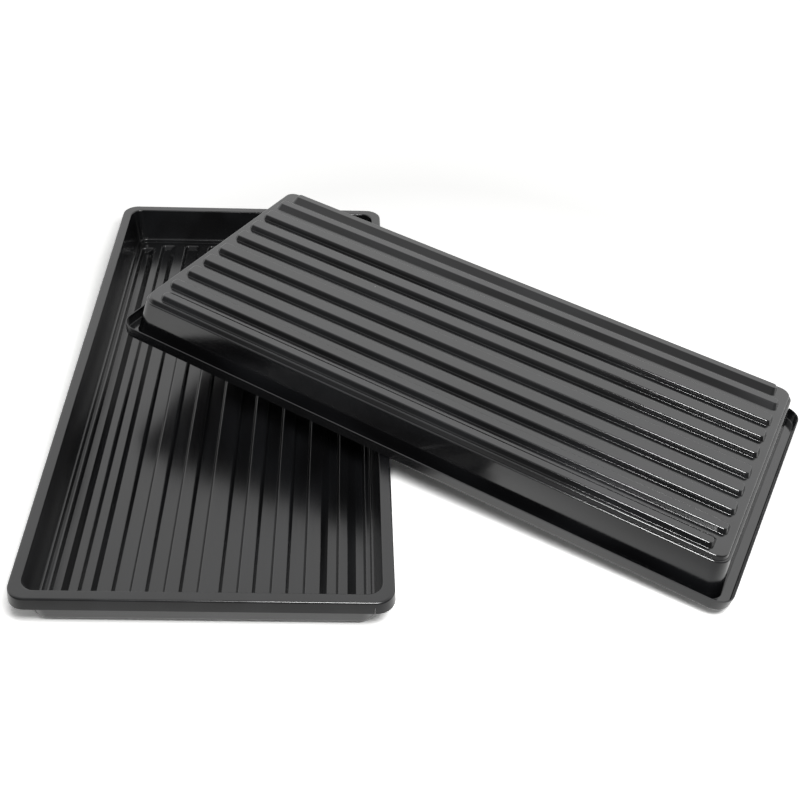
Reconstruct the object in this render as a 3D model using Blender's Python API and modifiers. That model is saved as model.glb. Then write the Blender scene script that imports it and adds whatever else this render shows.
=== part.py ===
"""A pair of thermoformed microgreen trays: one stands upright, its twin lies turned over across it as a cover.

Run with: blender --background --python part.py

Units are metres and +Z is up. Each tray is one plastic sheet: down-turned lip, flat flange, drafted wall, a small
ledge at the wall's foot, a perimeter land, and lengthwise channels below the land. The set stands on Z = 0, with
the origin under the middle of its bounding box.
"""

import math

import bmesh
import bpy
from mathutils import Vector

MM = 0.001

# Tray, over the lip's fold
LENGTH = 540 * MM
WIDTH = 270 * MM
HEIGHT = 41.1 * MM
SHEET = 1.1 * MM

# Lip and flange; the folds are given by their inside radius
LIP_DROP = 10.2 * MM
LIP_FLARE = 0.8 * MM
FLANGE = 8.7 * MM
FOLD_INSIDE = 0.5 * MM
RIM_INSIDE = 0.2 * MM
OUTER_CORNER = 14 * MM

# Wall, the ledge at its foot, and the land inside the ledge
WALL_DRAFT = 4.3 * MM
LEDGE = 2.1 * MM
LEDGE_RISE = 3.6 * MM
LEDGE_SLOPE = 0.5 * MM
FOOT_RADIUS = 0.8 * MM
LAND_CORNER = 8.4 * MM

# Lands of one half, from the middle outwards
CENTRE_LAND = 15.2 * MM
LAND = 10.6 * MM
OUTER_LAND = 6.8 * MM
SIDE_LAND = 3.2 * MM

# Channels: plain ones, then on each side two whose inner slope is wide
CHANNEL_DEPTH = 4.4 * MM
STEEP_SLOPE = 1.7 * MM
PLAIN_FLOOR = 10.6 * MM
NEXT_SLOPE = 5.5 * MM
NEXT_FLOOR = 6.8 * MM
OUTERMOST_SLOPE = 6.5 * MM
OUTERMOST_FLOOR = 5.8 * MM
END_SLOPE = 2.0 * MM
END_MARGIN = 5.4 * MM
OUTERMOST_END_MARGIN = 11 * MM
CHANNEL_CORNER = 3.2 * MM
FLOOR_CORNER = 1.8 * MM
FLOOR_BEVEL = 0.5 * MM

# How the turned-over tray lies
COVER_YAW = math.radians(61.1)
COVER_REACH = 70.3 * MM
COVER_SHIFT = -6.2 * MM
CONTACT_GAP = 0.3 * MM

# How finely arcs are drawn
CORNER_STEPS = 6
FOLD_STEPS = 3
FILLET_STEPS = 2
CHANNEL_CORNER_STEPS = 3
SMOOTH_ANGLE = math.radians(40)

BLACK_SATIN = {"colour": (0.012, 0.012, 0.013), "roughness": 0.36, "metallic": 0.0}


def arc(centre, radius, start, turn, steps):
    """Points on an arc, both ends included; angles in radians."""
    angles = (start + turn * k / steps for k in range(steps + 1))
    return [(centre[0] + radius * math.cos(a), centre[1] + radius * math.sin(a)) for a in angles]


def rounded_rectangle(low, high, radius, steps):
    """Corner arcs of a rectangle between two corner points, anticlockwise from the bottom left."""
    x0, y0 = low[0] + radius, low[1] + radius
    x1, y1 = high[0] - radius, high[1] - radius
    quarter = math.pi / 2
    points = []
    for turn, centre in enumerate(((x0, y0), (x1, y0), (x1, y1), (x0, y1))):
        points += arc(centre, radius, math.pi + turn * quarter, quarter, steps)
    return points


def fillet(before, corner, after, radius, steps):
    """Points of the arc that rounds one corner of a section line."""
    corner = Vector(corner)
    back = (Vector(before) - corner).normalized()
    ahead = (Vector(after) - corner).normalized()
    half = back.angle(ahead) / 2
    centre = corner + (back + ahead).normalized() * radius / math.sin(half)
    first = corner + back * radius / math.tan(half) - centre
    turn = math.copysign(math.pi - 2 * half, ahead.cross(back))
    return arc(centre, radius, math.atan2(first.y, first.x), turn, steps)


def fold_radius():
    """Outside radius of the fold between the lip and the flange."""
    return SHEET + FOLD_INSIDE


def wall_foot():
    """Inset of the wall's foot from the tray's outline."""
    return FLANGE + WALL_DRAFT


def land_edge():
    """Inset of the land's outer edge from the tray's outline."""
    return wall_foot() + LEDGE + LEDGE_SLOPE


def land_height():
    """Height of the land's upper face."""
    return SHEET + CHANNEL_DEPTH


def wall_section():
    """The tray's section from the lip's edge to the land, as (inset from the outline, height) points."""
    ledge_height = land_height() + LEDGE_RISE
    corners = [
        ((-LIP_FLARE, HEIGHT - LIP_DROP), 0, 0),
        ((0, HEIGHT), fold_radius(), FOLD_STEPS),
        ((FLANGE, HEIGHT), SHEET + RIM_INSIDE, FILLET_STEPS),
        ((wall_foot(), ledge_height), FOOT_RADIUS, FILLET_STEPS),
        ((wall_foot() + LEDGE, ledge_height), 0, 0),
        ((land_edge(), land_height()), FOOT_RADIUS, FILLET_STEPS),
        ((WIDTH / 2, land_height()), 0, 0),
    ]
    section = [corners[0][0]]
    for (before, _, _), (corner, radius, steps), (after, _, _) in zip(corners, corners[1:], corners[2:]):
        section += fillet(before, corner, after, radius, steps) if steps else [corner]
    return section


def corner_radius(inset):
    """Plan radius of a ring's corners: the lip's outside, one radius down the wall, then concentric to the land."""
    wall_corner = LAND_CORNER + land_edge() - wall_foot()
    if inset > wall_foot():
        return wall_corner - (inset - wall_foot())
    share = min(max(inset / FLANGE, 0), 1)
    return OUTER_CORNER + (wall_corner - OUTER_CORNER) * share


def half_channels():
    """Channels of the right half, each as (inner edge, inner slope, floor's width, reach from the middle).

    The two outer ones are placed from the ledge inwards. Plain ones fill the rest, from the middle outwards.
    """
    land_end = LENGTH / 2 - land_edge()
    outermost = WIDTH / 2 - land_edge() - SIDE_LAND - STEEP_SLOPE - OUTERMOST_FLOOR - OUTERMOST_SLOPE
    neighbour = outermost - OUTER_LAND - STEEP_SLOPE - NEXT_FLOOR - NEXT_SLOPE
    pitch = 2 * STEEP_SLOPE + PLAIN_FLOOR + LAND
    first = CENTRE_LAND / 2
    plain = int((neighbour - OUTER_LAND + LAND - first) / pitch)
    reach = land_end - END_MARGIN
    channels = [(first + k * pitch, STEEP_SLOPE, PLAIN_FLOOR, reach) for k in range(plain)]
    channels.append((neighbour, NEXT_SLOPE, NEXT_FLOOR, reach))
    channels.append((outermost, OUTERMOST_SLOPE, OUTERMOST_FLOOR, land_end - OUTERMOST_END_MARGIN))
    return channels


def channel_rings(channel, side):
    """A channel's rings from the land down to its floor, as (outline, depth below the land)."""
    inner, inner_slope, floor, reach = channel
    outer = inner + inner_slope + floor + STEEP_SLOPE
    floor_corner = min(FLOOR_CORNER, floor / 2 - FLOOR_BEVEL)
    bevel_share = 1 - FLOOR_BEVEL / CHANNEL_DEPTH
    rings = []
    for share, past, drop, radius in (
        (0, 0, 0, CHANNEL_CORNER),
        (bevel_share, 0, CHANNEL_DEPTH - FLOOR_BEVEL, floor_corner + FLOOR_BEVEL),
        (1, FLOOR_BEVEL, CHANNEL_DEPTH, floor_corner),
    ):
        xs = (side * (inner + inner_slope * share + past), side * (outer - STEEP_SLOPE * share - past))
        y = reach - END_SLOPE * share - past
        outline = rounded_rectangle((min(xs), -y), (max(xs), y), radius, CHANNEL_CORNER_STEPS)
        rings.append((outline, drop))
    return rings


def add_ring(bm, points, height):
    """One closed ring of vertices at a height."""
    return [bm.verts.new((x, y, height)) for x, y in points]


def loft(bm, rings):
    """Skin neighbouring rings, from the outer or upper one inwards, with quads that face up and inwards."""
    for near, far in zip(rings, rings[1:]):
        for k in range(len(near)):
            bm.faces.new((near[k - 1], near[k], far[k], far[k - 1]))


def ring_edges(bm, ring):
    """The edges along a ring."""
    return [bm.edges.get((ring[k - 1], ring[k])) for k in range(len(ring))]


def tray_sheet():
    """The tray's inner and upper face as one open surface; its thickness, added below, reaches down to Z = 0."""
    bm = bmesh.new()
    rings = []
    for inset, height in wall_section():
        x, y = WIDTH / 2 - inset, LENGTH / 2 - inset
        outline = rounded_rectangle((-x, -y), (x, y), corner_radius(inset), CORNER_STEPS)
        rings.append(add_ring(bm, outline, height))
    loft(bm, rings)
    land_edges = ring_edges(bm, rings[-1])
    for channel in half_channels():
        for side in (-1, 1):
            steps = [add_ring(bm, outline, land_height() - drop) for outline, drop in channel_rings(channel, side)]
            loft(bm, steps)
            bm.faces.new(steps[-1])
            land_edges += ring_edges(bm, steps[0])
    bmesh.ops.triangle_fill(bm, edges=land_edges, use_beauty=True, normal=(0, 0, 1))
    bmesh.ops.recalc_face_normals(bm, faces=bm.faces)
    mesh = bpy.data.meshes.new("tray_sheet")
    bm.to_mesh(mesh)
    bm.free()
    mesh.shade_smooth()
    mesh.set_sharp_from_angle(angle=SMOOTH_ANGLE)
    return mesh


def plastic(name, colour, roughness, metallic):
    """A plain Principled material."""
    material = bpy.data.materials.new(name)
    material.use_nodes = True
    shader = material.node_tree.nodes["Principled BSDF"]
    shader.inputs["Base Color"].default_value = (*colour, 1)
    shader.inputs["Roughness"].default_value = roughness
    shader.inputs["Metallic"].default_value = metallic
    return material


def tray(name, collection):
    """One tray object: the sheet with its thickness added below and outside it."""
    mesh = tray_sheet()
    obj = bpy.data.objects.new(name, mesh)
    collection.objects.link(obj)
    mesh.materials.append(plastic(f"{name}_black", **BLACK_SATIN))
    solidify = obj.modifiers.new("sheet thickness", "SOLIDIFY")
    solidify.thickness = SHEET
    solidify.offset = -1
    solidify.use_even_offset = True
    return obj


def empty(name, collection, location=(0, 0, 0), parent=None):
    """A placing point."""
    obj = bpy.data.objects.new(name, None)
    obj.location = location
    obj.parent = parent
    collection.objects.link(obj)
    return obj


def cover_tilt(fold_reach):
    """Tilt of the turned-over tray: its mouth plane touches the rim's fold, and its far corner's fold the table.

    fold_reach is the distance, along the tilted mouth plane, between the centres of those two folds.
    """
    rise = 2 * fold_radius() + CONTACT_GAP
    drop = HEIGHT - 2 * fold_radius() - CONTACT_GAP
    return math.atan2(rise, fold_reach) + math.asin(drop / math.hypot(rise, fold_reach))


def place_cover(cover, collection, root):
    """Turn the cover tray over and lay it across the rim, tilted until one corner comes down to the table."""
    core_x, core_y = WIDTH / 2 - OUTER_CORNER, LENGTH / 2 - OUTER_CORNER
    corner_reach = core_x * math.cos(COVER_YAW) + core_y * math.sin(COVER_YAW)
    fold_reach = COVER_REACH + corner_reach + OUTER_CORNER - fold_radius()
    rim_fold = Vector((WIDTH / 2 - fold_radius(), 0, HEIGHT - fold_radius()))
    lift = empty("cover_lift_axis", collection, rim_fold, root)
    tilt = empty("cover_tilt_axis", collection, parent=lift)
    tilt.rotation_euler.y = cover_tilt(fold_reach)
    cover.parent = tilt
    cover.location = (COVER_REACH, COVER_SHIFT, HEIGHT + fold_radius() + CONTACT_GAP)
    cover.rotation_euler = (0, math.pi, COVER_YAW)


def centre_on_origin(root, objects):
    """Move the set so that the middle of its bounding box stands over the origin."""
    bpy.context.view_layer.update()
    graph = bpy.context.evaluated_depsgraph_get()
    points = []
    for obj in objects:
        evaluated = obj.evaluated_get(graph)
        points += [obj.matrix_world @ vertex.co for vertex in evaluated.data.vertices]
    for axis in (0, 1):
        values = [point[axis] for point in points]
        root.location[axis] = -(min(values) + max(values)) / 2


def main():
    """Build the set in an emptied scene."""
    for obj in list(bpy.data.objects):
        bpy.data.objects.remove(obj, do_unlink=True)
    collection = bpy.data.collections.new("microgreen_tray_set")
    bpy.context.scene.collection.children.link(collection)
    root = empty("set_origin", collection)
    growing = tray("growing_tray", collection)
    growing.parent = root
    cover = tray("cover_tray", collection)
    place_cover(cover, collection, root)
    centre_on_origin(root, (growing, cover))


main()
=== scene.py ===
"""Looks of a pair of vacuum-formed growing trays: one upright, its twin turned over and laid askew on its rim.

Each tray is one sheet of black high-impact polystyrene. Its upper surface is made by Geometry Nodes from the
sizes of the mould, thickened, and laid where the frame's own tray lies.
"""

import ast
import logging
import math
from dataclasses import dataclass, field
from enum import Enum, IntEnum

import bpy
import bmesh
import numpy as np
from mathutils import Euler, Matrix, Vector


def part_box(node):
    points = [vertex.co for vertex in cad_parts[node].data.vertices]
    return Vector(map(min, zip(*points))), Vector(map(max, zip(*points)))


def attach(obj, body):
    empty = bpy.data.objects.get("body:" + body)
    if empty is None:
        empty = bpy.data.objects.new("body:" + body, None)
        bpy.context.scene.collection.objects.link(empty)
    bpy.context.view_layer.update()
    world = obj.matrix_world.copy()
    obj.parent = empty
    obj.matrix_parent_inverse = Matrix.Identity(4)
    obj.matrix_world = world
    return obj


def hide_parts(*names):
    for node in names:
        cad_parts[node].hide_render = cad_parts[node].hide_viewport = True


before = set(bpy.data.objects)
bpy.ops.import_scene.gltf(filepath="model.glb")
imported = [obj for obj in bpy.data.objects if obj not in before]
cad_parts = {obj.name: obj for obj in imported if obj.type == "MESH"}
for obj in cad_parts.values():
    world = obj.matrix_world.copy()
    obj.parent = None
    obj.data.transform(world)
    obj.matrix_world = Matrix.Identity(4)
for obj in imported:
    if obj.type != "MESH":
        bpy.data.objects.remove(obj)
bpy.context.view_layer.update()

LOG = logging.getLogger("growing_trays")
MM = 0.001
PLACE = "sheet_place"


def linear(code: str) -> tuple[float, float, float, float]:
    """Turn an sRGB hex colour into the linear values that Blender's sockets take.

    Args:
        code: Six hex digits, such as "1a1b1c".

    Returns:
        Linear red, green and blue, and an alpha of one.
    """
    shares = [int(code[k:k + 2], 16) / 255 for k in (0, 2, 4)]
    return (*[s / 12.92 if s <= 0.04045 else ((s + 0.055) / 1.055) ** 2.4 for s in shares], 1.0)


def add_node(tree: bpy.types.NodeTree, kind: str, settings: dict | None = None,
             inputs: dict | None = None) -> bpy.types.Node:
    """Add a node with its settings, values and links.

    Args:
        tree: The tree that gets the node.
        kind: The node's type name.
        settings: The node's own properties.
        inputs: Values, or sockets to link, by the input's name or number.

    Returns:
        The new node.
    """
    node = tree.nodes.new(kind)
    for name, value in (settings or {}).items():
        setattr(node, name, value)
    for name, value in (inputs or {}).items():
        if isinstance(value, bpy.types.NodeSocket):
            tree.links.new(value, node.inputs[name])
        else:
            node.inputs[name].default_value = value
    return node


class Formula:
    """Turns lines of arithmetic into Math nodes, so that a rule in a tree reads as a rule."""

    SIGNS = {ast.Add: "ADD", ast.Sub: "SUBTRACT", ast.Mult: "MULTIPLY", ast.Div: "DIVIDE"}
    CALLS = {"floor": "FLOOR", "cos": "COSINE", "sin": "SINE", "low": "MINIMUM", "high": "MAXIMUM",
             "over": "GREATER_THAN", "under": "LESS_THAN"}

    def __init__(self, tree: bpy.types.NodeTree, **values: object) -> None:
        """Start with the tree and the sockets or numbers that the lines may name."""
        self.tree = tree
        self.values = dict(values)

    def __call__(self, line: str) -> bpy.types.NodeSocket:
        """Add the nodes of one line, such as "rise = height - drop", and keep its result under the name.

        Args:
            line: A name, an equals sign and arithmetic on names, numbers and the calls above.

        Returns:
            The socket that carries the result.
        """
        step = ast.parse(line).body[0]
        result = self.part(step.value)
        self.values[step.targets[0].id] = result
        return result

    def part(self, term: ast.expr) -> object:
        """Work out one part of a line, adding the nodes that it needs.

        Args:
            term: A number, a name, a call, or two terms with a sign between them.

        Returns:
            The socket or number that carries the part.
        """
        if isinstance(term, ast.Constant):
            return float(term.value)
        if isinstance(term, ast.Name):
            return self.values[term.id]
        if isinstance(term, ast.BinOp):
            operation, terms = self.SIGNS[type(term.op)], (term.left, term.right)
        else:
            operation, terms = self.CALLS[term.func.id], term.args
        inputs = {place: self.part(each) for place, each in enumerate(terms)}
        return add_node(self.tree, "ShaderNodeMath", {"operation": operation}, inputs).outputs[0]


class Face(IntEnum):
    """Material places of a thickened sheet."""

    UPPER = 0
    UNDER = 1
    EDGE = 2


class Relief(Enum):
    """Kinds of fine relief in the sheet: size across in mm, how far each is stretched lengthwise, detail."""

    # The real grain is about a tenth of a millimetre across, and is drawn coarser so that it shows
    GRAIN = (0.55, 1.0, 3.0)
    DIE_LINES = (1.7, 160.0, 2.0)
    RIPPLE = (21.0, 3.5, 0.0)

    @property
    def frequency(self) -> Vector:
        """Turn the real size into a noise's scale.

        Returns:
            Noise cells per metre along the sheet's own axes.
        """
        across, stretch, _ = self.value
        cells = 1 / (across * MM)
        return Vector((cells, cells / stretch, cells))


@dataclass(frozen=True)
class FormedPolystyrene:
    """Black high-impact polystyrene sheet, extruded and then vacuum formed.

    The eye gets near-black depth, so that almost every tone is a reflection: clear on the face that met only air,
    satin with fine grain on the face that met the mould. Faint die lines run lengthwise, and dust clings to both.
    Heights of the relief are in millimetres.
    """

    name: str
    body: str = "0b0b0c"
    haze: str = "17181a"
    speck: str = "b9bbb8"
    ior: float = 1.59
    specular: float = 0.6
    roughness: float = 0.3
    smudge: float = 0.05
    grain: float = 0.002
    die_lines: float = 0.002
    ripple: float = 0.35
    # Haze from handling: it clouds where the slow noise passes haze_start, broken up by the grain
    haze_start: float = 0.35
    haze_gain: float = 1.6
    haze_grain: float = 0.8
    # Dust: one place in speck_spacing millimetres, of which this share holds a speck; its least reach and its
    # growth are in shares of the spacing, and dusty spots are duller
    speck_spacing: float = 11.0
    speck_share: float = 0.06
    speck_reach: float = 0.018
    speck_growth: float = 0.35
    speck_dullness: float = 0.5

    def material(self) -> bpy.types.Material:
        """Build the material.

        Returns:
            A material whose pattern follows the sheet's own length and width.
        """
        material = bpy.data.materials.new(self.name)
        material.use_nodes = True
        tree = material.node_tree
        shader = tree.nodes["Principled BSDF"]
        shader.inputs["IOR"].default_value = self.ior
        shader.inputs["Specular IOR Level"].default_value = self.specular
        place = add_node(tree, "ShaderNodeAttribute", {"attribute_name": PLACE}).outputs["Vector"]
        noises = {relief: self.noise(tree, place, relief) for relief in Relief}
        self.colour(tree, shader, place, noises)
        self.bump(tree, shader, noises)
        return material

    def noise(self, tree: bpy.types.NodeTree, place: bpy.types.NodeSocket, relief: Relief) -> bpy.types.NodeSocket:
        """Add one kind of relief, stretched along the sheet.

        Args:
            tree: The material's tree.
            place: The sheet's own coordinates.
            relief: The kind of relief.

        Returns:
            A noise from 0 to 1.
        """
        mapped = add_node(tree, "ShaderNodeMapping", {"vector_type": "POINT"},
                          {"Vector": place, "Scale": relief.frequency}).outputs[0]
        return add_node(tree, "ShaderNodeTexNoise", None,
                        {"Vector": mapped, "Scale": 1.0, "Detail": relief.value[2]}).outputs[0]

    def colour(self, tree: bpy.types.NodeTree, shader: bpy.types.Node, place: bpy.types.NodeSocket,
               noises: dict[Relief, bpy.types.NodeSocket]) -> None:
        """Mix the body colour with handling haze and dust specks, which are also rougher.

        Args:
            tree: The material's tree.
            shader: Its Principled BSDF.
            place: The sheet's own coordinates.
            noises: The noise of each kind of relief.
        """
        cells = add_node(tree, "ShaderNodeTexVoronoi", None,
                         {"Vector": place, "Scale": 1 / (self.speck_spacing * MM), "Randomness": 1.0})
        chance = add_node(tree, "ShaderNodeSeparateColor", None, {0: cells.outputs["Color"]}).outputs[0]
        rule = Formula(tree, cloud=noises[Relief.RIPPLE], grain=noises[Relief.GRAIN],
                       lines=noises[Relief.DIE_LINES], chance=chance, reach=cells.outputs["Distance"],
                       start=self.haze_start, gain=self.haze_gain, breakup=self.haze_grain,
                       share=self.speck_share, least=self.speck_reach, growth=self.speck_growth,
                       dull=self.speck_dullness, rough=self.roughness, smudge=self.smudge)
        haze = rule("haze = low(high((cloud - start) * gain + (grain - 0.5) * breakup, 0.0), 1.0)")
        speck = rule("speck = under(chance, share) * under(reach, least + chance * growth)")
        rule("blur = rough + (cloud - 0.5) * smudge * 2.0 + (lines - 0.5) * smudge")
        blur = rule("dusty = blur + speck * dull")
        body = add_node(tree, "ShaderNodeMix", {"data_type": "RGBA"},
                        {0: haze, 6: linear(self.body), 7: linear(self.haze)}).outputs[2]
        dusty = add_node(tree, "ShaderNodeMix", {"data_type": "RGBA"},
                         {0: speck, 6: body, 7: linear(self.speck)}).outputs[2]
        tree.links.new(dusty, shader.inputs["Base Color"])
        tree.links.new(blur, shader.inputs["Roughness"])

    def bump(self, tree: bpy.types.NodeTree, shader: bpy.types.Node,
             noises: dict[Relief, bpy.types.NodeSocket]) -> None:
        """Chain one Bump for each relief, with its height in real millimetres.

        Args:
            tree: The material's tree.
            shader: Its Principled BSDF.
            noises: The noise of each kind of relief.
        """
        heights = {Relief.RIPPLE: self.ripple, Relief.DIE_LINES: self.die_lines, Relief.GRAIN: self.grain}
        normal = None
        for relief, height in heights.items():
            inputs = {"Height": noises[relief], "Distance": height * MM, "Strength": 1.0}
            if normal is not None:
                inputs["Normal"] = normal
            normal = add_node(tree, "ShaderNodeBump", None, inputs).outputs[0]
        tree.links.new(normal, shader.inputs["Normal"])


@dataclass(frozen=True)
class ChannelKind:
    """One kind of channel in the right half of the floor, in millimetres across the sheet."""

    inner_slope: float
    floor: float
    end_margin: float


@dataclass
class Mould:
    """Sizes of the mould and the sheet, in millimetres.

    Radii are the upper surface's. Those of its outward corners are no less than the sheet, so that the underside
    keeps a small radius of its own.
    """

    length: float = 540.0
    width: float = 270.0
    height: float = 41.1
    sheet: float = 1.1
    lip_drop: float = 10.2
    lip_flare: float = 0.8
    flange: float = 8.7
    fold_radius: float = 1.6
    rim_radius: float = 1.15
    outer_corner: float = 14.0
    wall_draft: float = 4.3
    ledge: float = 1.6
    ledge_rise: float = 3.6
    ledge_slope: float = 1.0
    land_corner: float = 8.4
    centre_land: float = 15.2
    land: float = 10.6
    outer_land: float = 6.8
    side_land: float = 3.2
    channel_depth: float = 4.4
    steep_slope: float = 1.7
    end_slope: float = 2.0
    channel_corner: float = 3.2
    floor_corner: float = 1.8
    crease_radius: float = 0.25
    crest_radius: float = 1.6
    brink_radius: float = 1.15
    edge_round: float = 0.35
    plain: ChannelKind = field(default_factory=lambda: ChannelKind(1.7, 10.6, 5.4))
    neighbour: ChannelKind = field(default_factory=lambda: ChannelKind(5.5, 6.8, 5.4))
    outermost: ChannelKind = field(default_factory=lambda: ChannelKind(6.5, 5.8, 11.0))
    plain_count: int = 3

    @property
    def land_edge(self) -> float:
        """Inset of the land's outer edge from the tray's outline."""
        return self.flange + self.wall_draft + self.ledge + self.ledge_slope

    @property
    def land_height(self) -> float:
        """Height of the land's upper face."""
        return self.sheet + self.channel_depth

    def channel_width(self, kind: ChannelKind) -> float:
        """Width of a channel between the lands beside it."""
        return kind.inner_slope + kind.floor + self.steep_slope

    def inner_edges(self) -> dict[str, float]:
        """Lay out the channels of the right half, from the floor's outer edge inwards.

        Returns:
            For each kind, how far its first inner edge is from the middle of the tray.
        """
        outermost = self.width / 2 - self.land_edge - self.side_land - self.channel_width(self.outermost)
        neighbour = outermost - self.outer_land - self.channel_width(self.neighbour)
        return {"plain": self.centre_land / 2, "neighbour": neighbour, "outermost": outermost}


@dataclass
class SheetTree:
    """The Geometry Nodes tree that draws a tray's upper surface from a mould's sizes.

    The weld and the slack of a level are in millimetres. A channel's section starts lead_in before its crest and
    ends lead_out past its foot, in shares of the steep slope, and its corners take up to corner_share of its half
    width. The nudge keeps a whole number from rounding down to the one below when it is divided.
    """

    mould: Mould
    finish: bpy.types.Material
    corner_steps: int = 10
    side_steps: int = 20
    fillet_steps: int = 5
    weld: float = 0.002
    level_slack: float = 0.2
    lead_in: float = 0.75
    lead_out: float = 0.15
    corner_share: float = 0.8
    nudge: float = 0.01

    def build(self, name: str) -> bpy.types.Mesh:
        """Run the tree once.

        Args:
            name: Name of the mesh.

        Returns:
            The open surface as a plain mesh, facing up, in the tray's own axes.
        """
        tree, sockets = self.main_tree()
        carrier = bpy.data.objects.new(name, bpy.data.meshes.new(name))
        bpy.context.scene.collection.objects.link(carrier)
        modifier = carrier.modifiers.new("formed sheet", "NODES")
        modifier.node_group = tree
        for label, value in self.sizes().items():
            modifier[sockets[label].identifier] = value
        graph = bpy.context.evaluated_depsgraph_get()
        mesh = bpy.data.meshes.new_from_object(carrier.evaluated_get(graph))
        carrier.modifiers.remove(modifier)
        bpy.data.meshes.remove(carrier.data)
        self.face_up(mesh)
        mesh.name = name
        return mesh

    @staticmethod
    def face_up(mesh: bpy.types.Mesh) -> None:
        """Turn all faces of the open surface to the tray's inside.

        Args:
            mesh: The surface, with its flats facing all up or all down.
        """
        draft = bmesh.new()
        draft.from_mesh(mesh)
        bmesh.ops.recalc_face_normals(draft, faces=draft.faces)
        flats = sum(face.calc_area() * face.normal.z for face in draft.faces)
        if flats < 0:
            bmesh.ops.reverse_faces(draft, faces=draft.faces)
        draft.to_mesh(mesh)
        draft.free()

    def sizes(self) -> dict[str, float]:
        """Work out the tree's named inputs.

        Returns:
            Each input's value in metres, by its name.
        """
        m, edges = self.mould, self.mould.inner_edges()
        values = {
            "Length": m.length, "Width": m.width, "Height": m.height, "Lip Drop": m.lip_drop,
            "Lip Flare": m.lip_flare, "Flange": m.flange, "Wall Draft": m.wall_draft, "Ledge": m.ledge,
            "Ledge Rise": m.ledge_rise, "Ledge Slope": m.ledge_slope, "Fold Radius": m.fold_radius,
            "Rim Radius": m.rim_radius, "Crease Radius": m.crease_radius, "Crest Radius": m.crest_radius,
            "Brink Radius": m.brink_radius, "Outer Corner": m.outer_corner, "Land Corner": m.land_corner,
            "Land Height": m.land_height, "Channel Depth": m.channel_depth, "Steep Slope": m.steep_slope,
            "End Slope": m.end_slope, "Channel Corner": m.channel_corner, "Floor Corner": m.floor_corner,
            "Land": m.land, "Land Edge": m.land_edge,
        }
        for kind in ("plain", "neighbour", "outermost"):
            shape = getattr(m, kind)
            label = kind.title()
            values |= {f"{label} Inner Edge": edges[kind], f"{label} Inner Slope": shape.inner_slope,
                       f"{label} Floor": shape.floor, f"{label} End Margin": shape.end_margin}
        return {label: value * MM for label, value in values.items()}

    def main_tree(self) -> tuple[bpy.types.NodeTree, dict[str, bpy.types.NodeTreeInterfaceSocket]]:
        """Build the whole tree.

        Returns:
            The tree, and its input sockets by name.
        """
        tree = bpy.data.node_groups.new("formed_tray_sheet", "GeometryNodeTree")
        sockets = {label: tree.interface.new_socket(label, in_out="INPUT", socket_type="NodeSocketFloat")
                   for label in self.sizes()}
        tree.interface.new_socket("Sheet", in_out="OUTPUT", socket_type="NodeSocketGeometry")
        sizes = add_node(tree, "NodeGroupInput").outputs
        outline = self.outline_tree()
        parts = [self.wall(tree, sizes, outline)]
        parts += [self.channels(tree, sizes, outline, kind) for kind in ("Plain", "Neighbour", "Outermost")]
        joined = self.join(tree, parts)
        land = self.fill(tree, joined, sizes["Land Height"])
        rule = Formula(tree, land=sizes["Land Height"], depth=sizes["Channel Depth"])
        floors = self.fill(tree, joined, rule("floor_height = land - depth"))
        whole = self.join(tree, [joined, land, floors])
        real = add_node(tree, "GeometryNodeRealizeInstances", None, {0: whole}).outputs[0]
        dressed = add_node(tree, "GeometryNodeSetMaterial", None, {0: real, "Material": self.finish}).outputs[0]
        add_node(tree, "NodeGroupOutput", None, {"Sheet": dressed})
        return tree, sockets

    def join(self, tree: bpy.types.NodeTree, parts: list[bpy.types.NodeSocket]) -> bpy.types.NodeSocket:
        """Join parts and weld the points that they share.

        Args:
            tree: The tree that gets the nodes.
            parts: The meshes to join.

        Returns:
            The welded mesh.
        """
        joined = add_node(tree, "GeometryNodeJoinGeometry")
        for part in parts:
            tree.links.new(part, joined.inputs[0])
        return add_node(tree, "GeometryNodeMergeByDistance", None,
                        {0: joined.outputs[0], "Distance": self.weld * MM}).outputs[0]

    def fill(self, tree: bpy.types.NodeTree, mesh: bpy.types.NodeSocket,
             height: bpy.types.NodeSocket) -> bpy.types.NodeSocket:
        """Close the open rings that lie at one height with flat faces.

        Args:
            tree: The tree that gets the nodes.
            mesh: The mesh whose rings are open.
            height: The height of the rings.

        Returns:
            The flat faces, at that height.
        """
        neighbours = add_node(tree, "GeometryNodeInputMeshEdgeNeighbors").outputs[0]
        place = add_node(tree, "GeometryNodeInputPosition").outputs[0]
        z = add_node(tree, "ShaderNodeSeparateXYZ", None, {0: place}).outputs[2]
        rule = Formula(tree, count=neighbours, z=z, height=height, slack=self.level_slack * MM)
        rule("near = under(z, height + slack) * over(z, height - slack)")
        # An edge of an open ring has one face, and any other has two
        chosen = rule("chosen = near * under(count, 1.5)")
        rings = add_node(tree, "GeometryNodeMeshToCurve", None, {0: mesh, "Selection": chosen}).outputs[0]
        flat = add_node(tree, "GeometryNodeFillCurve", {"mode": "NGONS"}, {0: rings}).outputs[0]
        lift = add_node(tree, "ShaderNodeCombineXYZ", None, {2: height}).outputs[0]
        return add_node(tree, "GeometryNodeTransform", None, {0: flat, "Translation": lift}).outputs[0]

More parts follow.
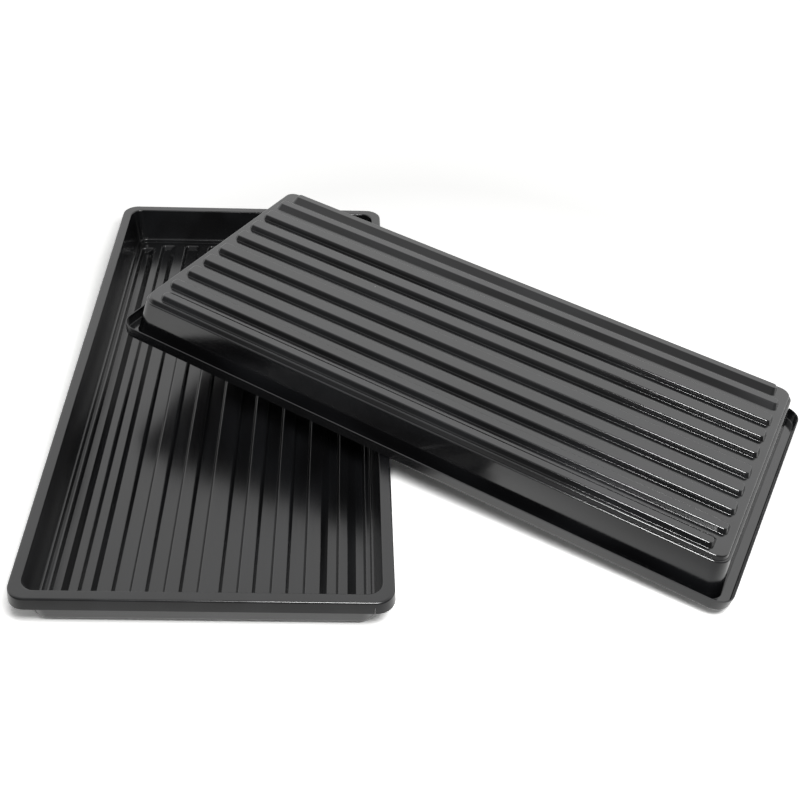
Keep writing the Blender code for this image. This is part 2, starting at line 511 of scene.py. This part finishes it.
    def outline_tree(self) -> bpy.types.NodeTree:
        """Build the group that gives a point of a rounded rectangle by its number along the outline.

        Returns:
            The group, which every ring of the wall and of the channels uses.
        """
        tree = bpy.data.node_groups.new("rounded_outline_point", "GeometryNodeTree")
        labels = ("Point", "Centre X", "Half X", "Half Y", "Radius", "Height", "Left Height")
        for label in labels:
            tree.interface.new_socket(label, in_out="INPUT", socket_type="NodeSocketFloat")
        tree.interface.new_socket("Position", in_out="OUTPUT", socket_type="NodeSocketVector")
        given = add_node(tree, "NodeGroupInput").outputs
        rule = Formula(tree, point=given["Point"], middle=given["Centre X"], half_x=given["Half X"],
                       half_y=given["Half Y"], radius=given["Radius"], height=given["Height"],
                       left=given["Left Height"], corner=float(self.corner_steps),
                       side=float(self.side_steps), right=math.pi / 2, diagonal=math.sqrt(2), nudge=self.nudge)
        rule("quarter = floor((point + nudge) / (corner + side))")
        rule("step = point - quarter * (corner + side)")
        rule("turn = (quarter + low(step / corner, 1.0)) * right")
        rule("along = high(step - corner, 0.0) / side")
        rule("across = (quarter + 0.5) * right")
        rule("core_x = diagonal * (cos(across) * (1.0 - along) - sin(across) * along)")
        rule("core_y = diagonal * (sin(across) * (1.0 - along) + cos(across) * along)")
        x = rule("x = middle + (half_x - radius) * core_x + radius * cos(turn)")
        y = rule("y = (half_y - radius) * core_y + radius * sin(turn)")
        z = rule("z = height + (left - height) * high(0.0 - cos(turn), 0.0)")
        place = add_node(tree, "ShaderNodeCombineXYZ", None, {0: x, 1: y, 2: z}).outputs[0]
        add_node(tree, "NodeGroupOutput", None, {"Position": place})
        return tree

    def section(self, tree: bpy.types.NodeTree,
                corners: list[tuple[object, object, object]]) -> bpy.types.NodeSocket:
        """Draw a section line with rounded corners as a curve.

        Args:
            tree: The tree that gets the nodes.
            corners: For each corner its two coordinates and its radius, or None where it stays sharp.

        Returns:
            The curve. A corner that stays sharp has its points in one place.
        """
        index = add_node(tree, "GeometryNodeInputIndex").outputs[0]
        places = add_node(tree, "GeometryNodeIndexSwitch", {"data_type": "VECTOR"}, {"Index": index})
        radii = add_node(tree, "GeometryNodeIndexSwitch", {"data_type": "FLOAT"}, {"Index": index})
        for number, (run, rise, radius) in enumerate(corners):
            for switch in (places, radii):
                if number >= len(switch.index_switch_items):
                    switch.index_switch_items.new()
            spot = add_node(tree, "ShaderNodeCombineXYZ", None, {0: run, 1: rise}).outputs[0]
            tree.links.new(spot, places.inputs[number + 1])
            if isinstance(radius, bpy.types.NodeSocket):
                tree.links.new(radius, radii.inputs[number + 1])
        line = add_node(tree, "GeometryNodeMeshLine", None, {"Count": len(corners)}).outputs[0]
        curve = add_node(tree, "GeometryNodeMeshToCurve", None, {0: line}).outputs[0]
        drawn = add_node(tree, "GeometryNodeSetPosition", None, {0: curve, "Position": places.outputs[0]}).outputs[0]
        return add_node(tree, "GeometryNodeFilletCurve", {"mode": "POLY"},
                        {0: drawn, "Radius": radii.outputs[0], "Count": self.fillet_steps}).outputs[0]

    def lattice(self, tree: bpy.types.NodeTree, sections: list[bpy.types.NodeSocket]
                ) -> tuple[bpy.types.NodeSocket, bpy.types.NodeSocket, list[bpy.types.NodeSocket]]:
        """Lay out a grid with a ring for each point of a section.

        Args:
            tree: The tree that gets the nodes.
            sections: Curves with the same number of points, for different sides of the rings.

        Returns:
            The grid, each point's number along its ring, and its ring's two coordinates in each section.
        """
        columns = 4 * (self.corner_steps + self.side_steps) + 1
        rings = add_node(tree, "GeometryNodeAttributeDomainSize", {"component": "CURVE"},
                         {0: sections[0]}).outputs[0]
        grid = add_node(tree, "GeometryNodeMeshGrid", None, {"Vertices X": rings, "Vertices Y": columns}).outputs[0]
        index = add_node(tree, "GeometryNodeInputIndex").outputs[0]
        rule = Formula(tree, index=index, columns=float(columns), nudge=self.nudge)
        ring = rule("ring = floor((index + nudge) / columns)")
        point = rule("point = index - ring * columns")
        place = add_node(tree, "GeometryNodeInputPosition").outputs[0]
        coordinates = []
        for section in sections:
            sampled = add_node(tree, "GeometryNodeSampleIndex", {"data_type": "FLOAT_VECTOR", "domain": "POINT"},
                               {0: section, "Value": place, "Index": ring}).outputs[0]
            coordinates += list(add_node(tree, "ShaderNodeSeparateXYZ", None, {0: sampled}).outputs)[:2]
        return grid, point, coordinates

    def wall(self, tree: bpy.types.NodeTree, sizes: bpy.types.NodeOutputs,
             outline: bpy.types.NodeTree) -> bpy.types.NodeSocket:
        """Draw the lip, flange, wall and ledge as rings round the tray.

        Args:
            tree: The tree that gets the nodes.
            sizes: The tree's own inputs.
            outline: The group that gives a ring's points.

        Returns:
            The surface from the lip's free edge to the land.
        """
        rule = Formula(tree, length=sizes["Length"], width=sizes["Width"], height=sizes["Height"],
                       drop=sizes["Lip Drop"], flare=sizes["Lip Flare"], flange=sizes["Flange"],
                       draft=sizes["Wall Draft"], ledge=sizes["Ledge"], rise=sizes["Ledge Rise"],
                       slope=sizes["Ledge Slope"], land=sizes["Land Height"], outer=sizes["Outer Corner"],
                       land_corner=sizes["Land Corner"])
        foot = rule("foot = flange + draft")
        shelf = rule("shelf = land + rise")
        edge = rule("edge = foot + ledge + slope")
        corners = [
            (rule("out = 0.0 - flare"), rule("free = height - drop"), None),
            (0.0, sizes["Height"], sizes["Fold Radius"]),
            (sizes["Flange"], sizes["Height"], sizes["Rim Radius"]),
            (foot, shelf, sizes["Crease Radius"]),
            (rule("brink = foot + ledge"), shelf, sizes["Brink Radius"]),
            (edge, sizes["Land Height"], sizes["Crease Radius"]),
            (rule("inside = edge + slope"), sizes["Land Height"], None),
        ]
        grid, point, (inset, level) = self.lattice(tree, [self.section(tree, corners)])
        rule.values.update(inset=inset)
        rule("share = low(high(inset / flange, 0.0), 1.0)")
        rule("wall_corner = land_corner + ledge + slope")
        radius = rule("radius = outer + (wall_corner - outer) * share - high(inset - foot, 0.0)")
        ring = add_node(tree, "GeometryNodeGroup", {"node_tree": outline}, {
            "Point": point, "Centre X": 0.0, "Half X": rule("half_x = width / 2.0 - inset"),
            "Half Y": rule("half_y = length / 2.0 - inset"), "Radius": radius, "Height": level,
            "Left Height": level})
        return add_node(tree, "GeometryNodeSetPosition", None, {0: grid, "Position": ring.outputs[0]}).outputs[0]

    def channels(self, tree: bpy.types.NodeTree, sizes: bpy.types.NodeOutputs, outline: bpy.types.NodeTree,
                 kind: str) -> bpy.types.NodeSocket:
        """Draw one kind of channel and set its copies in both halves of the floor.

        Args:
            tree: The tree that gets the nodes.
            sizes: The tree's own inputs.
            outline: The group that gives a ring's points.
            kind: The kind's name, as the inputs have it.

        Returns:
            The slopes of all channels of this kind.
        """
        rule = Formula(tree, depth=sizes["Channel Depth"], steep=sizes["Steep Slope"], land=sizes["Land"],
                       inner=sizes[f"{kind} Inner Edge"], slope=sizes[f"{kind} Inner Slope"],
                       floor_width=sizes[f"{kind} Floor"], margin=sizes[f"{kind} End Margin"],
                       end_slope=sizes["End Slope"], length=sizes["Length"], edge=sizes["Land Edge"],
                       top=sizes["Channel Corner"], bottom=sizes["Floor Corner"], level=sizes["Land Height"],
                       lead_in=self.lead_in, lead_out=self.lead_out, corner_share=self.corner_share)
        sunk = rule("sunk = 0.0 - depth")
        before, spare = rule("before = 0.0 - steep * lead_in"), rule("spare = steep * lead_out")
        sections = [self.section(tree, [
            (before, 0.0, None),
            (0.0, 0.0, sizes["Crest Radius"]),
            (wide, sunk, sizes["Crease Radius"]),
            (Formula(tree, wide=wide, spare=spare)("after = wide + spare"), sunk, None),
        ]) for wide in (sizes["Steep Slope"], sizes[f"{kind} Inner Slope"])]
        grid, point, (run, drop, inner_run, inner_drop) = self.lattice(tree, sections)
        rule.values.update(run=run, drop=drop, inner_run=inner_run, inner_drop=inner_drop)
        rule("low_x = inner + inner_run")
        rule("high_x = inner + slope + floor_width + steep - run")
        reach = rule("reach = length / 2.0 - edge - margin - end_slope * run / steep")
        rule("round = top - low(run, 0.0) - (top - bottom) * low(high(run / steep, 0.0), 1.0)")
        ring = add_node(tree, "GeometryNodeGroup", {"node_tree": outline}, {
            "Point": point, "Centre X": rule("middle = (low_x + high_x) / 2.0"),
            "Half X": rule("half_x = (high_x - low_x) / 2.0"), "Half Y": reach,
            "Radius": rule("radius = low(round, half_x * corner_share)"),
            "Height": rule("height = level + drop"), "Left Height": rule("left = level + inner_drop")})
        one = add_node(tree, "GeometryNodeSetPosition", None, {0: grid, "Position": ring.outputs[0]}).outputs[0]
        count = self.mould.plain_count if kind == "Plain" else 1
        pitch = add_node(tree, "ShaderNodeCombineXYZ", None,
                         {0: rule("pitch = slope + floor_width + steep + land")}).outputs[0]
        spots = add_node(tree, "GeometryNodeMeshLine", None, {"Count": count, "Offset": pitch}).outputs[0]
        copies = add_node(tree, "GeometryNodeInstanceOnPoints", None, {0: spots, "Instance": one}).outputs[0]
        half = add_node(tree, "GeometryNodeRealizeInstances", None, {0: copies}).outputs[0]
        turned = add_node(tree, "GeometryNodeTransform", None,
                          {0: half, "Rotation": Euler((0, 0, math.pi))}).outputs[0]
        return self.join(tree, [half, turned])


@dataclass
class Tray:
    """One tray: its surface from the mould, thickened, finished and laid in its place."""

    body: str
    mould: Mould
    pattern_shift: Vector
    sharp_angle: float = math.radians(55)
    round_angle: float = math.radians(60)
    edge_steps: int = 3
    flat_weight: int = 80

    def finishes(self) -> list[bpy.types.Material]:
        """Build the three finishes of the sheet.

        Returns:
            The materials of the upper face, the under face and the cut edge, in that order.
        """
        # Cast gloss of the extruder's rolls, kept where the sheet met only air: clear, slightly wavy reflections
        upper = FormedPolystyrene(f"{self.body}_hips_gloss_inside", roughness=0.23, grain=0.0003,
                                 specular=0.55)
        # Pressed on the polished mould: a tight sheen, streaked lengthwise, with haze from stacking
        under = FormedPolystyrene(f"{self.body}_hips_satin_mould_side", roughness=0.14, grain=0.0004, specular=0.7,
                                  die_lines=0.0015, ripple=0.15, haze="1b1c1e", smudge=0.09)
        # Cut by the trim die: dull, slightly torn and grayer
        edge = FormedPolystyrene(f"{self.body}_hips_trimmed_edge", roughness=0.62, grain=0.006, body="141416",
                                 haze="2a2b2d", die_lines=0.004)
        return [upper.material(), under.material(), edge.material()]

    def place(self) -> Matrix:
        """Where the tray's own axes lie in the frame."""
        low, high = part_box(self.body)
        return Matrix.Translation(((low.x + high.x) / 2, (low.y + high.y) / 2, low.z))

    def refine(self, obj: bpy.types.Object) -> None:
        """Work the thickened sheet before it is laid in place."""

    def build(self) -> bpy.types.Object:
        """Make the tray's piece and give it to the frame.

        Returns:
            The finished piece.
        """
        finishes = self.finishes()
        mesh = SheetTree(self.mould, finishes[Face.UPPER]).build(f"{self.body}_sheet")
        mesh.materials.clear()
        for finish in finishes:
            mesh.materials.append(finish)
        obj = bpy.data.objects.new(mesh.name, mesh)
        bpy.context.scene.collection.objects.link(obj)
        self.thicken(obj)
        self.refine(obj)
        self.note_place(obj.data)
        obj.data.transform(self.place())
        obj.data.shade_smooth()
        obj.data.set_sharp_from_angle(angle=self.sharp_angle)
        even = obj.modifiers.new("even shading", "WEIGHTED_NORMAL")
        even.keep_sharp = True
        even.weight = self.flat_weight
        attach(obj, self.body)
        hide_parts(self.body)
        LOG.info("%s: %d faces", obj.name, len(obj.data.polygons))
        return obj

    def thicken(self, obj: bpy.types.Object) -> None:
        """Give the surface its thickness below, with its own finish there and on the trimmed edge.

        Args:
            obj: The object that carries the open surface.
        """
        solid = obj.modifiers.new("sheet", "SOLIDIFY")
        solid.thickness = self.mould.sheet * MM
        solid.offset = -1
        solid.use_even_offset = True
        solid.material_offset = Face.UNDER - Face.UPPER
        solid.material_offset_rim = Face.EDGE - Face.UPPER
        rounded = obj.modifiers.new("rounded edges", "BEVEL")
        rounded.width = self.mould.edge_round * MM
        rounded.segments = self.edge_steps
        rounded.limit_method = "ANGLE"
        rounded.angle_limit = self.round_angle
        rounded.use_clamp_overlap = False
        self.apply(obj)

    @staticmethod
    def apply(obj: bpy.types.Object) -> None:
        """Replace the object's mesh by its evaluated one and drop its modifiers.

        Args:
            obj: The object, whose mesh keeps its name.
        """
        graph = bpy.context.evaluated_depsgraph_get()
        mesh = bpy.data.meshes.new_from_object(obj.evaluated_get(graph))
        obj.modifiers.clear()
        name, worked = obj.data.name, obj.data
        obj.data = mesh
        bpy.data.meshes.remove(worked)
        mesh.name = name

    def note_place(self, mesh: bpy.types.Mesh) -> None:
        """Keep each point's place on the sheet for the patterns, shifted so that no two trays look alike.

        Args:
            mesh: The thickened sheet, still in the tray's own axes.
        """
        noted = mesh.attributes.new(PLACE, "FLOAT_VECTOR", "POINT")
        points = np.empty(len(mesh.vertices) * 3, np.float32)
        mesh.vertices.foreach_get("co", points)
        points = points.reshape(-1, 3) + np.array(self.pattern_shift, np.float32)
        noted.data.foreach_set("vector", points.ravel())


@dataclass
class GrowingTray(Tray):
    """The upright tray. Its lip has a short tear near one corner."""

    tear_from_corner: float = 14.0
    tear_width: float = 1.1
    tear_tip: float = 0.2
    tear_height: float = 6.0
    tear_depth: float = 2.5
    tear_overshoot: float = 1.0

    def refine(self, obj: bpy.types.Object) -> None:
        """Cut the tear: a narrow wedge, open at the lip's free edge.

        Args:
            obj: The thickened sheet, still in the tray's own axes.
        """
        m = self.mould
        x, y = m.width / 2 - self.tear_from_corner, -m.length / 2
        free = m.height - m.lip_drop
        low, high = free - self.tear_overshoot, free + self.tear_height
        wide, narrow = self.tear_width / 2, self.tear_tip / 2
        profile = [(x - wide, low), (x + wide, low), (x + narrow, high), (x - narrow, high)]
        draft = bmesh.new()
        front = [draft.verts.new((px * MM, (y - self.tear_depth) * MM, pz * MM)) for px, pz in profile]
        shape = draft.faces.new(front)
        grown = bmesh.ops.extrude_face_region(draft, geom=[shape])
        moved = [item for item in grown["geom"] if isinstance(item, bmesh.types.BMVert)]
        bmesh.ops.translate(draft, verts=moved, vec=(0, 2 * self.tear_depth * MM, 0))
        bmesh.ops.recalc_face_normals(draft, faces=draft.faces)
        mesh = bpy.data.meshes.new("tear_wedge")
        draft.to_mesh(mesh)
        draft.free()
        wedge = bpy.data.objects.new("tear_wedge", mesh)
        bpy.context.scene.collection.objects.link(wedge)
        cut = obj.modifiers.new("tear", "BOOLEAN")
        cut.operation = "DIFFERENCE"
        cut.object = wedge
        self.apply(obj)
        bpy.data.objects.remove(wedge)


@dataclass
class CoverTray(Tray):
    """The turned-over tray: its mouth leans on the growing tray's rim, and one corner comes down to the table."""

    yaw: float = math.radians(61.1)
    reach: float = 70.3
    shift: float = -6.2
    gap: float = 0.26

    def tilt(self) -> float:
        """Find the lean at which the mouth touches the rim's fold and the far corner's fold the table.

        Returns:
            The angle, in radians.
        """
        m = self.mould
        core = Vector((m.width / 2 - m.outer_corner, m.length / 2 - m.outer_corner))
        along = core.x * math.cos(self.yaw) + core.y * math.sin(self.yaw)
        folds = self.reach + along + m.outer_corner - m.fold_radius
        rise = 2 * m.fold_radius + self.gap
        drop = m.height - 2 * m.fold_radius - self.gap
        return math.atan2(rise, folds) + math.asin(drop / math.hypot(rise, folds))

    def place(self) -> Matrix:
        """Lay the turned tray across the growing tray's rim.

        Returns:
            Where the tray's own axes lie in the frame.
        """
        m = self.mould
        low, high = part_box("growing_tray")
        rim = Vector(((low.x + high.x) / 2 + (m.width / 2 - m.fold_radius) * MM, 0, (m.height - m.fold_radius) * MM))
        turned = Matrix.Rotation(self.yaw, 4, "Z") @ Matrix.Rotation(math.pi, 4, "Y")
        laid = Matrix.Translation(Vector((self.reach, self.shift, m.height + m.fold_radius + self.gap)) * MM)
        return Matrix.Translation(rim) @ Matrix.Rotation(self.tilt(), 4, "Y") @ laid @ turned


@dataclass
class Studio:
    """Pale sweep, soft light and the camera."""

    key_place: Vector = field(default_factory=lambda: Vector((0.02, -0.72, 0.89)))
    key_size: tuple[float, float] = (0.42, 0.22)
    key_radiance: float = 38.0
    daylight: float = 0.2
    front_light: float = 0.3
    backdrop: float = 1.3
    ceiling: float = 0.8
    front_dark: float = 0.06
    front_fill: float = 0.3
    # Where the surroundings change, along a unit direction: from the back to the front, overhead, and above the
    # table's level; each blend is how fast
    front_start: float = 0.3
    front_blend: float = 3.0
    overhead_from: float = 0.78
    overhead_blend: float = 10.0
    above_from: float = 0.1
    above_blend: float = 5.0
    # The floor's brightness: how bright the camera sees it, from where it evens out, and how bright it is mirrored
    # beyond the line in front of the trays and, as painted shade, darker before it; places in metres
    floor_lift: float = 1.8
    floor_even_from: float = 0.4
    floor_even_rise: float = 3.0
    floor_mirrored: float = 1.45
    floor_front_painted_shade: float = 1.0
    floor_painted_shade_line: float = 0.22
    floor_painted_shade_blend: float = 9.0
    floor_colour: str = "fbfbfa"
    floor_size: float = 30.0
    floor_gap: float = 0.1 * MM
    eye: Vector = field(default_factory=lambda: Vector((0.0895, -0.8057, 0.6608)))
    tilt: float = 54.17
    roll: float = -1.51
    pan: float = -0.39
    lens: float = 52.05
    shift: tuple[float, float] = (0.0513, -0.0865)
    sensor: float = 36.0
    clip: tuple[float, float] = (0.05, 50.0)

    def build(self) -> None:
        """Set the floor, the surroundings, the lamps, the camera and the view transform."""
        self.floor()
        self.world()
        self.key()
        self.camera()
        bpy.context.scene.view_settings.view_transform = "Standard"

    def floor(self) -> None:
        """Lay a wide pale floor just under the tray."""
        draft = bmesh.new()
        bmesh.ops.create_grid(draft, x_segments=1, y_segments=1, size=self.floor_size / 2)
        mesh = bpy.data.meshes.new("studio_floor")
        draft.to_mesh(mesh)
        draft.free()
        floor = bpy.data.objects.new("studio_floor", mesh)
        floor.location.z = -self.floor_gap
        bpy.context.scene.collection.objects.link(floor)
        # Matt white paper sweep: no sheen of its own, the trays' soft shade, and a painted shade over its front that
        # only reflections see
        material = bpy.data.materials.new("studio_matt_paper")
        material.use_nodes = True
        tree = material.node_tree
        tree.nodes.clear()
        path = add_node(tree, "ShaderNodeLightPath").outputs
        place = add_node(tree, "ShaderNodeTexCoord").outputs["Object"]
        rule = Formula(tree, camera=path["Is Camera Ray"], glossy=path["Is Glossy Ray"],
                       through=path["Is Transmission Ray"], lift=self.floor_lift, start=self.floor_even_from,
                       rise=self.floor_even_rise, base=self.floor_mirrored, loss=self.floor_front_painted_shade,
                       line=self.floor_painted_shade_line, blend=self.floor_painted_shade_blend,
                       y=add_node(tree, "ShaderNodeSeparateXYZ", None, {0: place}).outputs[1],
                       far=add_node(tree, "ShaderNodeVectorMath", {"operation": "LENGTH"}, {0: place}).outputs[1])
        # Painted shade: in reflections the floor is darker in front of the line before the trays
        rule("near = low(high((0.0 - line - y) * blend, 0.0), 1.0)")
        rule("mirrored = base - near * loss")
        rule("evened = lift + high(far - start, 0.0) * rise")
        rule("seen = high(camera, through)")
        shown = rule("shown = 1.0 + (evened - 1.0) * seen + (mirrored - 1.0) * glossy")
        colour = add_node(tree, "ShaderNodeVectorMath", {"operation": "SCALE"},
                          {0: linear(self.floor_colour)[:3], "Scale": shown}).outputs[0]
        paper = add_node(tree, "ShaderNodeBsdfDiffuse", None, {"Color": colour}).outputs[0]
        add_node(tree, "ShaderNodeOutputMaterial", None, {0: paper})
        mesh.materials.append(material)

    def world(self) -> None:
        """White where it is seen or mirrored, dimmer in front as a room is, and an even light on the object."""
        world = bpy.data.worlds.new("studio")
        bpy.context.scene.world = world
        world.use_nodes = True
        tree = world.node_tree
        tree.nodes.clear()
        way = add_node(tree, "ShaderNodeTexCoord").outputs["Generated"]
        axes = add_node(tree, "ShaderNodeSeparateXYZ", None, {0: way}).outputs
        path = add_node(tree, "ShaderNodeLightPath").outputs
        rule = Formula(tree, y=axes[1], z=axes[2], camera=path["Is Camera Ray"], glossy=path["Is Glossy Ray"],
                       through=path["Is Transmission Ray"], even=self.daylight, dark=self.front_dark,
                       fill=self.front_fill, backdrop=self.backdrop, ceiling=self.ceiling,
                       windows=self.front_light, start=self.front_start, turn=self.front_blend,
                       top=self.overhead_from, top_blend=self.overhead_blend, low_from=self.above_from,
                       low_blend=self.above_blend)
        rule("front = low(high(start - y * turn, 0.0), 1.0)")
        rule("overhead = low(high((z - top) * top_blend, 0.0), 1.0)")
        rule("above = low(high((z - low_from) * low_blend, 0.0), 1.0)")
        rule("behind = backdrop + (ceiling - backdrop) * overhead")
        rule("room = dark + (fill - dark) * above")
        rule("mirrored = behind + (room - behind) * front")
        rule("lit = even + (windows - even) * under(z, top) * under(y, 0.0)")
        rule("other = 1.0 - high(camera, high(glossy, through))")
        strength = rule("strength = camera + glossy * mirrored + through + other * lit")
        light = add_node(tree, "ShaderNodeBackground", None, {"Color": (1, 1, 1, 1), "Strength": strength}).outputs[0]
        add_node(tree, "ShaderNodeOutputWorld", None, {0: light})

    def key(self) -> None:
        """Hang the soft key light above the camera."""
        data = bpy.data.lights.new("key", "AREA")
        data.shape = "RECTANGLE"
        data.size, data.size_y = self.key_size
        data.energy = self.key_radiance * math.pi * data.size * data.size_y
        lamp = bpy.data.objects.new("key", data)
        lamp.location = self.key_place
        lamp.rotation_euler = self.key_place.to_track_quat("Z", "Y").to_euler()
        lamp.visible_camera = False
        bpy.context.scene.collection.objects.link(lamp)

    def camera(self) -> None:
        """Stand the camera where the view was taken, measured from the middle of the growing tray."""
        low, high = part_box("growing_tray")
        data = bpy.data.cameras.new("camera")
        data.sensor_width = self.sensor
        data.lens = self.lens
        data.shift_x, data.shift_y = self.shift
        data.clip_start, data.clip_end = self.clip
        camera = bpy.data.objects.new("camera", data)
        camera.location = self.eye + Vector(((low.x + high.x) / 2, 0, 0))
        camera.rotation_euler = [math.radians(turn) for turn in (self.tilt, self.roll, self.pan)]
        bpy.context.scene.collection.objects.link(camera)
        bpy.context.scene.camera = camera


def main() -> None:
    """Build the trays and the studio round the frame."""
    logging.basicConfig(level=logging.INFO, format="%(name)s: %(message)s")
    mould = Mould()
    trays = [GrowingTray("growing_tray", mould, pattern_shift=Vector((0, 0, 0))),
             CoverTray("cover_tray", mould, pattern_shift=Vector((0.7, 0.4, 0.2)))]
    for tray in trays:
        tray.build()
    Studio().build()


if __name__ == "__main__":
    main()
